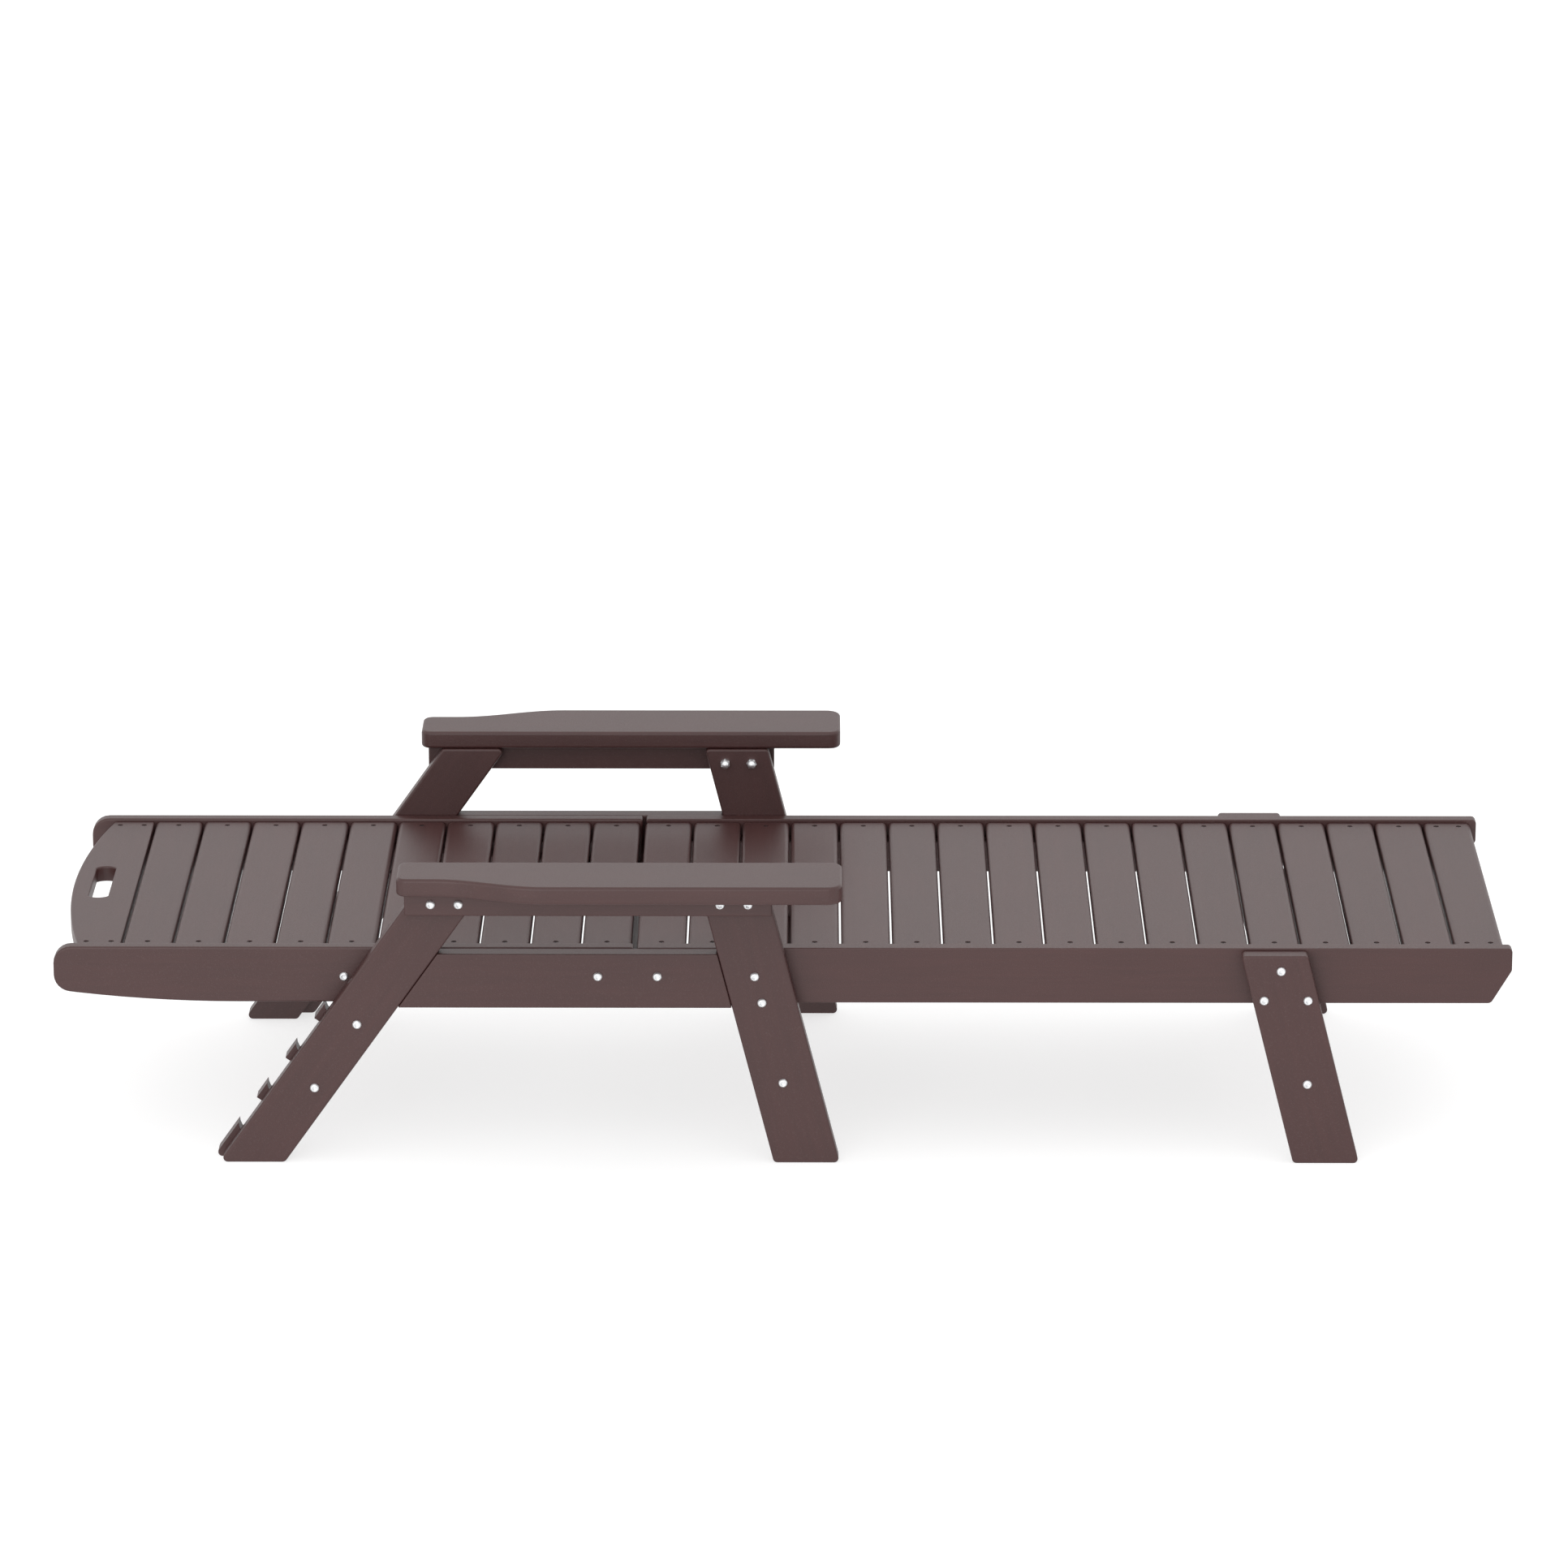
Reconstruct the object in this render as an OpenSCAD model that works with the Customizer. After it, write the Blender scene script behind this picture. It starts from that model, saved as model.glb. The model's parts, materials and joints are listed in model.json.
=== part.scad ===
// Reclining slatted chaise lounge with armrests, built up from separate boards and bolts.
// Millimetres. +X runs to the foot end, +Y to the lying person's left, +Z up.
// The origin is on the ground, under the middle of the lounge.

/* [Overall] */
// length over the side rails
length = 1980; // [1900:5:2060]
// width over the outside faces of the seat rails
bed_width = 600; // [560:5:680]
// height of the side rails' top edge above the ground
rail_top = 301; // [280:1:330]
// height of the armrests' top face above the ground
arm_top = 424; // [400:1:460]

/* [Side rails] */
// thickness of the seat and back rails
rail_thick = 20; // [18:1:25]
// height of the seat and back rails
rail_height = 78.5; // [70:0.5:90]
// where the back ends and the seat begins, measured from the middle of the lounge
split_x = -199.5; // [-260:0.5:-140]
// sideways play between the back rails and the fixed side boards
back_play = 1; // [0.5:0.5:2]
// reach of the sloped cut under the foot end of each seat rail
foot_cut = 27.5; // [10:0.5:40]

/* [Slats] */
// thickness of every slat
slat_thick = 22; // [16:1:25]
// width of an ordinary slat
slat_width = 66.7; // [55:0.1:80]
// distance from one slat to the next
slat_pitch = 69.5; // [60:0.5:90]
// how far the slats lie below the rails' top edge
slat_drop = 4; // [2:1:12]
// radius of the slats' rounded long edges
slat_edge = 6.5; // [2:0.5:9]
// length of the hand-hole in the head slat
hand_hole_length = 138; // [100:1:160]
// width of the hand-hole in the head slat
hand_hole_width = 27; // [25:1:35]

/* [Legs] */
// thickness of the legs, side boards and arm supports
frame_thick = 25; // [20:1:30]
// backward lean of the middle and front legs
leg_lean = 14.24; // [8:0.01:20]
// backward lean of the back legs
back_leg_lean = 35.16; // [28:0.01:38]
// width of a middle or front leg along the ground
leg_foot = 90; // [75:0.5:100]
// height of the front legs' top ends
front_leg_top = 298; // [285:1:300]

/* [Armrests] */
// thickness of an armrest
arm_thick = 25; // [20:1:30]
// width of an armrest at its broad front part
arm_wide = 114; // [95:1:125]
// width of an armrest at its narrow rear part
arm_narrow = 80; // [65:1:95]
// height of the support board under each armrest
support_height = 37; // [30:1:45]

/* [Back prop] */
// distance from the prop's pivot to its bar
prop_reach = 350; // [330:1:352]
// diameter of the prop's bar
bar_d = 22; // [18:1:24]

/* [Fasteners] */
// diameter of every bolt
bolt_d = 8; // [6:1:10]
// radial clearance of a bolt in its hole
bolt_play = 0.05; // [0.02:0.01:0.1]
// diameter of a slat screw's head
screw_head_d = 7.4; // [6:0.2:8]

/* [Hidden] */
$fn = 96;

brown = [0.36, 0.29, 0.28];
steel = [0.78, 0.79, 0.80];
aluminium = [0.70, 0.71, 0.72];
coating = [0.12, 0.09, 0.09];

// planes across the lounge, as distances from its middle
rail_out = bed_width / 2;
rail_in = rail_out - rail_thick;
back_out = rail_out - back_play;
back_in = back_out - rail_thick;
leg_out = rail_out + frame_thick;
support_out = leg_out + frame_thick;
arm_in = rail_out + 2;
cleat_thick = 22;
cleat_in = rail_in - cleat_thick;
back_cleat_in = back_in - cleat_thick;

// heights
rail_low = rail_top - rail_height;
slat_top = rail_top - slat_drop;
slat_low = slat_top - slat_thick;
cleat_height = 28;
arm_low = arm_top - arm_thick;
board_top = rail_top - 1;
bolt_z = 268.4;

// along the lounge
end_x = length / 2;
rail_gap = 5;
back_end = split_x - rail_gap / 2;
seat_start = split_x + rail_gap / 2;
seat_slat_x = -164.75;
back_slat_x = -238.95;
// back hinge, and the prop's pivot on the back rails
hinge = [-250, bolt_z];
prop_pivot = [-595.3, 259.5];
bar_z = rail_low + bar_d / 2 + 0.5;
bar_x = prop_pivot[0] + sqrt(pow(prop_reach, 2) - pow(prop_pivot[1] - bar_z, 2));
prop_half = 15;

// edges of the legs where they meet the ground
middle_x = -11.6;
front_x = 696.7;
back_x = -768.8;
back_foot = 90;

// notch board, laid out along the back leg: up the slope, and out from the leg's rear edge
notch_count = 4;
notch_pitch = 69.9;
tooth_out = 7;
tooth_length = 25.5;
notch_r = 22;
notch_depth = 55;
first_tip = 55;

bolt_r = bolt_d / 2;
hole_r = bolt_r + bolt_play;
head_r = 6.3;
head_h = 4.2;
nut_r = 7.2;
// the hinge's nuts are slimmer, so that the first back slat clears them as it turns
hinge_nut_r = 6.4;
nut_h = 7;
screw_r = 2.2;
screw_y = 262;
screw_sink = 1;

// Geometry helpers ---------------------------------------------------------

function unit(v) = v / norm(v);
function lean_x(z, angle) = z * tan(angle);

// cuts one corner of a flat outline back to a round of radius r; the round meets the two
// edges at a slight angle, because edges that only touch it don't always close
module corner_cut(p, a, b, r) {
    ua = unit(a - p);
    ub = unit(b - p);
    half = acos(ua * ub) / 2;
    mid = unit(ua + ub);
    centre = p + mid * r / sin(half);
    difference() {
        polygon([p + ua * r / tan(half), centre, p + ub * r / tan(half), p - mid * r]);
        translate(centre) circle(r * 1.003);
    }
}

// outline with outward corners rounded, one radius per point
module rounded(points, radii) {
    n = len(points);
    difference() {
        polygon(points);
        for (i = [0 : n - 1])
            if (radii[i] > 0)
                corner_cut(points[i], points[(i + n - 1) % n], points[(i + 1) % n], radii[i]);
    }
}

// stands a flat X-Z outline up as a board between two distances on the right-hand side
module board(near, far) {
    translate([0, -near, 0]) rotate([90, 0, 0]) linear_extrude(far - near) children();
}

// a round hole or rod through the right-hand side, from one distance to another
module rod(p, r, near, far) {
    translate([p[0], -near, p[1]]) rotate([90, 0, 0]) cylinder(h = far - near, r = r);
}

module left() {
    mirror([0, 1, 0]) children();
}

// Bolts --------------------------------------------------------------------

// through bolts: position in X and Z, inner and outer face of what they clamp
through_bolts = [
    [[-37.6, bolt_z], cleat_in, leg_out],
    [[-27.7, 231], rail_in, leg_out],
    [[652.9, 234.7], rail_in, leg_out],
    [[712.2, 234.7], rail_in, leg_out],
    [[-577.3, 199.4], rail_out - frame_thick, leg_out],
    [[-636.4, 108.1], rail_out - frame_thick, leg_out],
    [[-84, 378.8], rail_out, support_out],
    [[-46.3, 378.8], rail_out, support_out]
];

// middles of the two stretchers between the legs, where their end bolts enter
middle_stretcher_at = [0.8, 116];
front_stretcher_at = [713.8, 114.7];

// bolts that end inside the wood: the same, without a nut
blind_bolts = [
    [[-169.4, bolt_z], rail_in + 3, leg_out],
    [[-473.9, 378.8], rail_out + 5, support_out],
    [[-436.4, 378.8], rail_out + 5, support_out],
    [[675.1, 276.6], rail_in + 3, leg_out],
    [middle_stretcher_at, rail_out - 35, leg_out],
    [front_stretcher_at, rail_out - 35, leg_out]
];

module bolt_holes(near, far) {
    for (b = concat(through_bolts, blind_bolts))
        if (b[1] < far && b[2] > near)
            rod(b[0], hole_r, max(b[1] - 0.5, near - 1), far + 1);
}

module bolt_head(p, face) {
    translate([p[0], -face, p[1]]) rotate([90, 0, 0]) difference() {
        intersection() {
            cylinder(h = head_h, r = head_r);
            translate([0, 0, head_h - 8.4]) sphere(8.4);
        }
        translate([0, 0, head_h - 2.6]) cylinder(h = 4, r = 2.4, $fn = 6);
    }
}

module bolt(p, near, face) {
    union() {
        rod(p, bolt_r, near, face + 0.5);
        bolt_head(p, face);
    }
}

module cap_nut(p, face, r = nut_r) {
    translate([p[0], -face, p[1]]) rotate([-90, 0, 0]) difference() {
        union() {
            cylinder(h = nut_h, r = r, $fn = 6);
            translate([0, 0, nut_h - 1]) intersection() {
                sphere(6);
                cylinder(h = 8, r = 6);
            }
        }
        translate([0, 0, -1]) cylinder(h = nut_h + 1, r = hole_r);
    }
}

module frame_bolts_right() {
    for (b = through_bolts) bolt(b[0], b[1] - nut_h + 1.5, b[2]);
    for (b = blind_bolts) bolt(b[0], b[1], b[2]);
    bolt(hinge, back_cleat_in - nut_h + 1, leg_out);
}

module frame_nuts_right() {
    for (b = through_bolts) cap_nut(b[0], b[1]);
    cap_nut(hinge, back_cleat_in - 0.5, hinge_nut_r);
}

// the fixed bolts with their cap nuts
module frame_bolts() {
    color(steel) {
        frame_bolts_right();
        left() frame_bolts_right();
        frame_nuts_right();
        left() frame_nuts_right();
    }
}

// Side rails ---------------------------------------------------------------

module seat_rail() {
    color(brown) difference() {
        board(rail_in, rail_out) difference() {
            rounded([[seat_start, rail_low], [end_x - foot_cut, rail_low],
                     [end_x, rail_low + foot_cut * 1.7], [end_x, rail_top],
                     [seat_start, rail_top]],
                    [4, 8, 8, 6, 4]);
            translate(hinge) circle(60);
        }
        bolt_holes(rail_in, rail_out);
    }
}

// the under edge of a back rail rises gently towards the head end
rise_start = -742;
rise_r = 1850;
function rise(x) = rise_r - sqrt(pow(rise_r, 2) - pow(x - rise_start, 2));
rise_steps = 8;
head_low = [for (i = [0 : rise_steps])
    let (x = -end_x + (rise_start + end_x) * i / rise_steps) [x, rail_low + rise(x)]];

module back_rail() {
    color(brown) difference() {
        board(back_in, back_out) difference() {
            rounded(concat(head_low, [[back_end, rail_low], [back_end, rail_top],
                                      [-end_x, rail_top]]),
                    concat([24], [for (i = [1 : rise_steps]) 0], [4, 4, 24]));
            translate([bar_x, bar_z]) circle(bar_d / 2 + 1);
            translate([bar_x - bar_d / 2 - 1, rail_low - 5])
                square([bar_d + 2, bar_z - rail_low + 5]);
        }
        rod(hinge, hole_r, back_in - 1, back_out + 1);
        rod(prop_pivot, hole_r, back_in - 1, back_out + 1);
    }
}

// Fixed frame --------------------------------------------------------------

module leaning_leg(foot_x, top) {
    color(brown) difference() {
        board(rail_out, leg_out)
            rounded([[foot_x, 0], [foot_x + leg_foot, 0],
                     [foot_x + leg_foot - lean_x(top, leg_lean), top],
                     [foot_x - lean_x(top, leg_lean), top]],
                    [6, 6, 5, 5]);
        bolt_holes(rail_out, leg_out);
    }
}

module middle_leg() {
    leaning_leg(middle_x, arm_low);
}

module front_leg() {
    leaning_leg(front_x, front_leg_top);
}

module back_leg() {
    color(brown) difference() {
        board(rail_out, leg_out)
            rounded([[back_x, 0], [back_x + back_foot, 0],
                     [back_x + back_foot + lean_x(arm_low, back_leg_lean), arm_low],
                     [back_x + lean_x(arm_low, back_leg_lean), arm_low]],
                    [6, 8, 6, 4]);
        bolt_holes(rail_out, leg_out);
    }
}

// fills the span between the back leg and the middle leg, in the same plane as they are
module side_board() {
    low = rail_low + 0.5;
    joint = 0.4;
    color(brown) difference() {
        board(rail_out, leg_out)
            polygon([[back_x + back_foot + joint + lean_x(low, back_leg_lean), low],
                     [middle_x - joint - lean_x(low, leg_lean), low],
                     [middle_x - joint - lean_x(board_top, leg_lean), board_top],
                     [back_x + back_foot + joint + lean_x(board_top, back_leg_lean),
                      board_top]]);
        bolt_holes(rail_out, leg_out);
        rod(hinge, hole_r, rail_out - 1, leg_out + 1);
    }
}

// outline of the notches, in distances up the leg's rear edge and out from it
module notch_outline() {
    difference() {
        translate([-60, -notch_depth]) square([480, notch_depth + tooth_out]);
        for (i = [0 : notch_count - 1]) {
            tip = first_tip + notch_pitch * i;
            translate([tip + 12.7, -11]) circle(notch_r);
            translate([tip + 12.7, -20])
                square([notch_pitch - tooth_length - 12.7, 40]);
        }
    }
}

// where a line at distance out from the leg's rear edge crosses a level
function notch_x(out, z) = back_x + lean_x(z, back_leg_lean) - out / cos(back_leg_lean);

module notch_board() {
    top = rail_low - 1.5;
    color(brown) difference() {
        board(rail_out - frame_thick, rail_out) intersection() {
            translate([back_x, 0]) rotate(90 - back_leg_lean) notch_outline();
            rounded([[notch_x(tooth_out, 0), 0], [notch_x(-notch_depth, 0), 0],
                     [notch_x(-notch_depth, top), top], [notch_x(tooth_out, top), top]],
                    [6, 6, 0, 0]);
        }
        bolt_holes(rail_out - frame_thick, rail_out);
    }
}

module stretcher(p) {
    stretcher_thick = 25;
    stretcher_height = 64;
    color(brown) difference() {
        translate([p[0] - stretcher_thick / 2, -rail_out, p[1] - stretcher_height / 2])
            cube([stretcher_thick, 2 * rail_out, stretcher_height]);
        bolt_holes(rail_out - 60, rail_out);
        left() bolt_holes(rail_out - 60, rail_out);
    }
}

module middle_stretcher() {
    stretcher(middle_stretcher_at);
}

module front_stretcher() {
    stretcher(front_stretcher_at);
}

// closes the rear end of the seat, against the ends of the seat cleats; its rear face is
// hollowed so that the back clears it as it turns
module seat_end_stretcher() {
    half = back_in - 1;
    color(brown) difference() {
        translate([-213, -half, rail_low]) cube([seat_start + 10 + 213, 2 * half, 50]);
        translate([hinge[0], half + 1, hinge[1]]) rotate([90, 0, 0])
            cylinder(h = 2 * half + 2, r = 52);
    }
}

// Armrests -----------------------------------------------------------------

arm_back_x = -518.5;
arm_front_x = 80.5;
wave_start = -470;
wave_end = -318;
wave_steps = 14;
wave = [for (i = [0 : wave_steps])
    let (t = i / wave_steps)
    [wave_start + (wave_end - wave_start) * t,
     -arm_in - arm_narrow - (arm_wide - arm_narrow) * (1 - cos(180 * t)) / 2]];

module armrest() {
    color(brown) translate([0, 0, arm_low]) linear_extrude(arm_thick)
        rounded(concat([[arm_front_x, -arm_in], [arm_back_x, -arm_in],
                        [arm_back_x, -arm_in - arm_narrow]], wave,
                       [[arm_front_x, -arm_in - arm_wide]]),
                concat([16, 14, 14], [for (p = wave) 0], [20]));
}

module arm_support() {
    color(brown) difference() {
        board(leg_out, support_out)
            rounded([[-509.5, arm_low - support_height], [-14, arm_low - support_height],
                     [-14, arm_low], [-509.5, arm_low]],
                    [3, 3, 0, 0]);
        bolt_holes(leg_out, support_out);
    }
}

// Cleats and slats ---------------------------------------------------------

function seat_x(i) = seat_slat_x + slat_pitch * (i - 1);
function back_x_of(i) = back_slat_x - slat_pitch * (i - 1);
slat_half = back_in - 0.8;
head_edge = back_x_of(10) - slat_pitch / 2 - (slat_pitch - slat_width) / 2;
seat_screw_x = concat([for (i = [1 : 16]) seat_x(i)], [seat_x(17) - 16, seat_x(17) + 16]);
back_screw_x = concat([for (i = [1 : 10]) back_x_of(i)], [-948, -914]);

module cleat(x0, x1, near, far, screws) {
    color(brown) difference() {
        translate([x0, -far, slat_low - cleat_height])
            cube([x1 - x0, far - near, cleat_height]);
        for (x = screws)
            translate([x, -screw_y, slat_low - 21]) cylinder(h = 30, r = screw_r + 0.05);
        children();
    }
}

module seat_cleat() {
    cleat(seat_start + 10, end_x - 15, cleat_in, rail_in, seat_screw_x)
        bolt_holes(cleat_in, rail_in);
}

module back_cleat() {
    cleat(-950, back_end - 12, back_cleat_in, back_in, back_screw_x) {
        rod(hinge, hole_r, back_cleat_in - 1, back_in + 1);
        rod(prop_pivot, hole_r, back_cleat_in - 1, back_in + 1);
    }
}

module screw_holes(xs) {
    for (x = xs, s = [-1, 1]) {
        translate([x, s * screw_y, slat_low - 1]) cylinder(h = 40, r = screw_r + 0.05);
        translate([x, s * screw_y, slat_top - 4]) cylinder(h = 10, r = screw_head_d / 2 + 0.1);
    }
}

// one slat across the bed: rounded edges along its length
module slat(x, screws) {
    color(brown) difference() {
        translate([0, slat_half, 0]) rotate([90, 0, 0]) linear_extrude(2 * slat_half)
            rounded([[x - slat_width / 2, slat_low], [x + slat_width / 2, slat_low],
                     [x + slat_width / 2, slat_top], [x - slat_width / 2, slat_top]],
                    [slat_edge, slat_edge, slat_edge, slat_edge]);
        screw_holes(screws);
    }
}

module seat_slat(i) {
    slat(seat_x(i), [seat_x(i)]);
}

module back_slat(i) {
    slat(back_x_of(i), [back_x_of(i)]);
}

module foot_slat() {
    slat(seat_x(17), [seat_x(17) - 16, seat_x(17) + 16]);
}

// wide end slat with a bowed outer edge and a hand-hole
module head_slat() {
    bow_r = 1250;
    bow_end = -988.5;
    hole_x = -950;
    cap_r = 16.25;
    cap_bulge = 10;
    straight = hand_hole_length / 2 - cap_bulge;
    color(brown) difference() {
        translate([0, 0, slat_low]) linear_extrude(slat_thick) difference() {
            intersection() {
                translate([bow_end + bow_r, 0]) circle(bow_r, $fn = 360);
                translate([bow_end - 5, -slat_half])
                    square([head_edge - bow_end + 5, 2 * slat_half]);
            }
            translate([hole_x - hand_hole_width / 2, -straight])
                square([hand_hole_width, 2 * straight]);
            for (s = [-1, 1]) intersection() {
                translate([hole_x, s * (straight + cap_bulge - cap_r)]) circle(cap_r);
                translate([hole_x - hand_hole_width / 2, -200]) square([hand_hole_width, 400]);
            }
        }
        screw_holes([-948, -914]);
    }
}

module screws(xs) {
    color(coating) for (x = xs, s = [-1, 1]) translate([x, s * screw_y, 0]) union() {
        translate([0, 0, slat_low - 20]) cylinder(h = slat_thick + 18, r = screw_r);
        translate([0, 0, slat_top - 4]) difference() {
            cylinder(h = 4 - screw_sink, r = screw_head_d / 2);
            translate([0, 0, 1.4]) cylinder(h = 4, r = 1.6, $fn = 6);
        }
    }
}

module seat_screws() {
    screws(seat_screw_x);
}

module back_screws() {
    screws(back_screw_x);
}

// Back prop ----------------------------------------------------------------

arm_gap = 0.5;
prop_out = back_cleat_in - arm_gap;
prop_in = prop_out - 25;

module prop_arm() {
    along = [bar_x, bar_z] - prop_pivot;
    color(brown) difference() {
        board(prop_in, prop_out)
            translate(prop_pivot) rotate(atan2(along[1], along[0])) rounded(
                [[-prop_half, -prop_half], [prop_reach + prop_half, -prop_half],
                 [prop_reach + prop_half, prop_half], [-prop_half, prop_half]],
                [for (i = [1 : 4]) prop_half - 0.5]);
        rod(prop_pivot, hole_r, prop_in - 1, prop_out + 1);
        rod([bar_x, bar_z], bar_d / 2 + bolt_play, prop_in - 1, prop_out + 1);
    }
}

module prop_bar() {
    bar_half = rail_out - 3;
    color(aluminium) difference() {
        rod([bar_x, bar_z], bar_d / 2, -bar_half, bar_half);
        rod([bar_x, bar_z], bar_d / 2 - 2.5, -bar_half - 1, bar_half + 1);
    }
}

module prop_pivot_bolts_right() {
    bolt(prop_pivot, prop_in - 5, back_out);
    cap_nut(prop_pivot, prop_in - arm_gap);
}

module prop_pivot_bolts() {
    color(steel) {
        prop_pivot_bolts_right();
        left() prop_pivot_bolts_right();
    }
}

seat_rail();  // seat_rail_right
left() seat_rail();  // seat_rail_left
back_rail();  // back_rail_right
left() back_rail();  // back_rail_left
side_board();  // side_board_right
left() side_board();  // side_board_left
back_leg();  // back_leg_right
left() back_leg();  // back_leg_left
middle_leg();  // middle_leg_right
left() middle_leg();  // middle_leg_left
front_leg();  // front_leg_right
left() front_leg();  // front_leg_left
notch_board();  // notch_board_right
left() notch_board();  // notch_board_left
armrest();  // armrest_right
left() armrest();  // armrest_left
arm_support();  // arm_support_right
left() arm_support();  // arm_support_left
seat_cleat();  // seat_cleat_right
left() seat_cleat();  // seat_cleat_left
back_cleat();  // back_cleat_right
left() back_cleat();  // back_cleat_left
middle_stretcher();
front_stretcher();
seat_end_stretcher();
prop_arm();  // prop_arm_right
left() prop_arm();  // prop_arm_left
prop_bar();
frame_bolts();
prop_pivot_bolts();
seat_screws();
back_screws();
head_slat();
back_slat(1);  // back_slat_01
back_slat(2);  // back_slat_02
back_slat(3);  // back_slat_03
back_slat(4);  // back_slat_04
back_slat(5);  // back_slat_05
back_slat(6);  // back_slat_06
back_slat(7);  // back_slat_07
back_slat(8);  // back_slat_08
back_slat(9);  // back_slat_09
back_slat(10);  // back_slat_10
seat_slat(1);  // seat_slat_01
seat_slat(2);  // seat_slat_02
seat_slat(3);  // seat_slat_03
seat_slat(4);  // seat_slat_04
seat_slat(5);  // seat_slat_05
seat_slat(6);  // seat_slat_06
seat_slat(7);  // seat_slat_07
seat_slat(8);  // seat_slat_08
seat_slat(9);  // seat_slat_09
seat_slat(10);  // seat_slat_10
seat_slat(11);  // seat_slat_11
seat_slat(12);  // seat_slat_12
seat_slat(13);  // seat_slat_13
seat_slat(14);  // seat_slat_14
seat_slat(15);  // seat_slat_15
seat_slat(16);  // seat_slat_16
foot_slat();
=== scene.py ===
import json
import math
import random

import bmesh
import bpy
from bpy.props import FloatProperty, FloatVectorProperty, IntProperty, PointerProperty
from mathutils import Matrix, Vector

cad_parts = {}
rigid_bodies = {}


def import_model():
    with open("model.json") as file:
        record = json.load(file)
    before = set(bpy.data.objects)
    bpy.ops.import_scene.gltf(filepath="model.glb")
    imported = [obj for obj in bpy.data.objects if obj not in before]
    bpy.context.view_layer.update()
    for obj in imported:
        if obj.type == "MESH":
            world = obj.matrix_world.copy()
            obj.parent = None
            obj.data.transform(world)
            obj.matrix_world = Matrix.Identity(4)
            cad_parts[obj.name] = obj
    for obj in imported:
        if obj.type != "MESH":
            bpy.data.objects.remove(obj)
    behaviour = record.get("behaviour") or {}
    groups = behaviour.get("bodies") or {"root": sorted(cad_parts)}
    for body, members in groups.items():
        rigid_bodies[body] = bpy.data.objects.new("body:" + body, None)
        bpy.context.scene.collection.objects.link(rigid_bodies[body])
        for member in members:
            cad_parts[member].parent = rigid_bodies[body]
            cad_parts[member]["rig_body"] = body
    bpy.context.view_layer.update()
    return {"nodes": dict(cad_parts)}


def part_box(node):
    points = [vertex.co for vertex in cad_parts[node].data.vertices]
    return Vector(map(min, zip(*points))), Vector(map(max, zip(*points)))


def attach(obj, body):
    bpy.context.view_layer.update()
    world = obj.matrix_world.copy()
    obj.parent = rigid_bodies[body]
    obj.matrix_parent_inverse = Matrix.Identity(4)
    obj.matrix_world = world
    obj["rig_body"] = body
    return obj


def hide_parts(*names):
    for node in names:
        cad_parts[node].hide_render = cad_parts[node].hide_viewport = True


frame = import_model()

bl_info = {
    "name": "Slatted chaise lounge",
    "version": (1, 0, 0),
    "blender": (4, 5, 0),
    "location": "3D View > Sidebar > Lounge",
    "description": "Builds a slatted reclining chaise lounge, board by board",
    "category": "Add Mesh",
}

MM = 0.001
TINT = "board_tint"

# Outlines below are in millimetres: X along the lounge, Z up.
# The place of each board across the lounge comes from its CAD node.
LEG_LEAN = math.tan(math.radians(14.24))
BACK_LEG_ANGLE = math.radians(35.16)
BACK_LEG_LEAN = math.tan(BACK_LEG_ANGLE)
LEG_WIDTH = 90
BACK_LEG_X = -768.8
MIDDLE_LEG_X = -11.6
FRONT_LEG_X = 696.7
FRONT_LEG_TOP = 298
ARMREST_LOW = 399
ARMREST_TOP = 424
RAIL_LOW = 222.5
RAIL_TOP = 301
HINGE = (-250, 268.4)
HINGE_SCOOP = 60
PROP_PIVOT = (-595.3, 259.5)
PROP_REACH = 350
BAR_Z = 234
BAR_X = PROP_PIVOT[0] + math.sqrt(PROP_REACH ** 2 - (PROP_PIVOT[1] - BAR_Z) ** 2)

SLAT_LOW = 275
SLAT_TOP = 297
SEAT_SLAT_X = -164.75
BACK_SLAT_X = -238.95
SLAT_PITCH = 69.5
FOOT_SLAT_X = SEAT_SLAT_X + 16 * SLAT_PITCH
SCREW_Y = 262
POCKET_R = 3.8
POCKET_DEPTH = 4
HEAD_SCREWS = (-948, -914)

# bolts on the right-hand side: X, Z, and the node whose outer face the head sits on
BOLTS = [
    (-169.4, 268.4, "side_board"), (-37.6, 268.4, "side_board"),
    (-27.7, 231.0, "middle_leg"), (0.8, 116.0, "middle_leg"),
    (652.9, 234.7, "front_leg"), (712.2, 234.7, "front_leg"),
    (675.1, 276.6, "front_leg"), (713.8, 114.7, "front_leg"),
    (-577.3, 199.4, "back_leg"), (-636.4, 108.1, "back_leg"),
    (-250.0, 268.4, "side_board"),
    (-473.9, 378.8, "arm_support"), (-436.4, 378.8, "arm_support"),
    (-84.0, 378.8, "arm_support"), (-46.3, 378.8, "arm_support"),
]
# cap nuts: X, Z, distance of their seat from the middle plane, size;
# the hinge's nuts are slimmer, to clear the first back slat
HINGE_NUT = 0.89
NUTS = [
    (-37.6, 268.4, 258, 1), (-27.7, 231.0, 280, 1),
    (652.9, 234.7, 280, 1), (712.2, 234.7, 280, 1),
    (-577.3, 199.4, 275, 1), (-636.4, 108.1, 275, 1),
    (-84.0, 378.8, 300, 1), (-46.3, 378.8, 300, 1),
    (-250.0, 268.4, 256.5, HINGE_NUT),
]


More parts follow.
